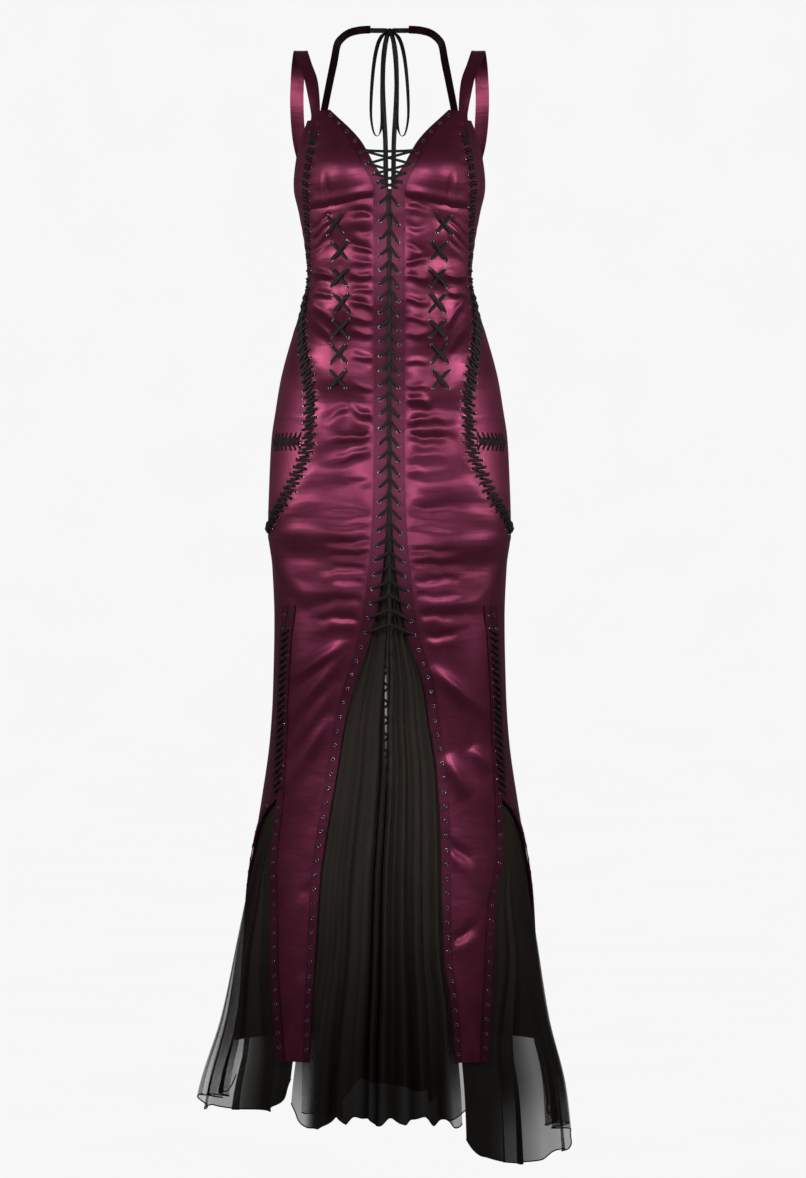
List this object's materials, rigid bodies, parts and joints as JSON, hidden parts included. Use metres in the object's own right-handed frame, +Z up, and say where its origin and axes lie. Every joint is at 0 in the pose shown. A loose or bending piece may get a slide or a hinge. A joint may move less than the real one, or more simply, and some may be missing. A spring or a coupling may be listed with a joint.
{
  "type": "laced corset gown",
  "caption": "Floor-length satin gown with a laced front, laced hips and slits, shoulder and halter straps, a nape tie and black chiffon godets.",
  "frame": {"origin": "midway between the undersides of the tops of the two shoulder straps, where the gown rests on its wearer", "axes": "+Z up, -Y the way the laced front faces, +X to the right seen from the front"},
  "size_m": [0.5292, 0.5732, 1.5812],
  "materials": {
    "satin": "plum duchess satin with a soft sheen",
    "satin_band": "plum satin, stitched eyelet band",
    "chiffon": "black sheer silk chiffon",
    "lace": "black flat woven lacing cord",
    "ribbon": "black satin ribbon",
    "eyelet": "dark gunmetal eyelets"
  },
  "bodies": {
    "root": {"cup_left": "satin", "front_panel_left": "satin", "side_panel_left": "satin", "back_panel_left": "satin", "shoulder_strap_left": "satin", "front_band_left": "satin_band", "front_side_band_left": "satin_band", "back_side_band_left": "satin_band", "back_band_left": "satin_band", "halter_strap_left": "satin_band", "side_godet_left": "chiffon", "neck_ribbon_left": "ribbon", "bow_loop_left": "ribbon", "tie_end_left": "ribbon", "hip_lace_left": "lace", "hip_bar_lace_left": "lace", "cross_lace_left_1": "lace", "cross_lace_left_2": "lace", "cross_lace_left_3": "lace", "cross_lace_left_4": "lace", "cross_lace_left_5": "lace", "cross_lace_left_6": "lace", "cross_lace_left_7": "lace", "cup_right": "satin", "front_panel_right": "satin", "side_panel_right": "satin", "back_panel_right": "satin", "shoulder_strap_right": "satin", "front_band_right": "satin_band", "front_side_band_right": "satin_band", "back_side_band_right": "satin_band", "back_band_right": "satin_band", "halter_strap_right": "satin_band", "side_godet_right": "chiffon", "neck_ribbon_right": "ribbon", "bow_loop_right": "ribbon", "tie_end_right": "ribbon", "hip_lace_right": "lace", "hip_bar_lace_right": "lace", "cross_lace_right_1": "lace", "cross_lace_right_2": "lace", "cross_lace_right_3": "lace", "cross_lace_right_4": "lace", "cross_lace_right_5": "lace", "cross_lace_right_6": "lace", "cross_lace_right_7": "lace", "front_godet": "chiffon", "back_godet": "chiffon", "neck_knot": "ribbon", "front_lace": "lace", "neck_lace_under": "lace", "neck_lace_over": "lace", "back_lace_under": "lace", "back_lace_over": "lace"}
  },
  "joints": []
}
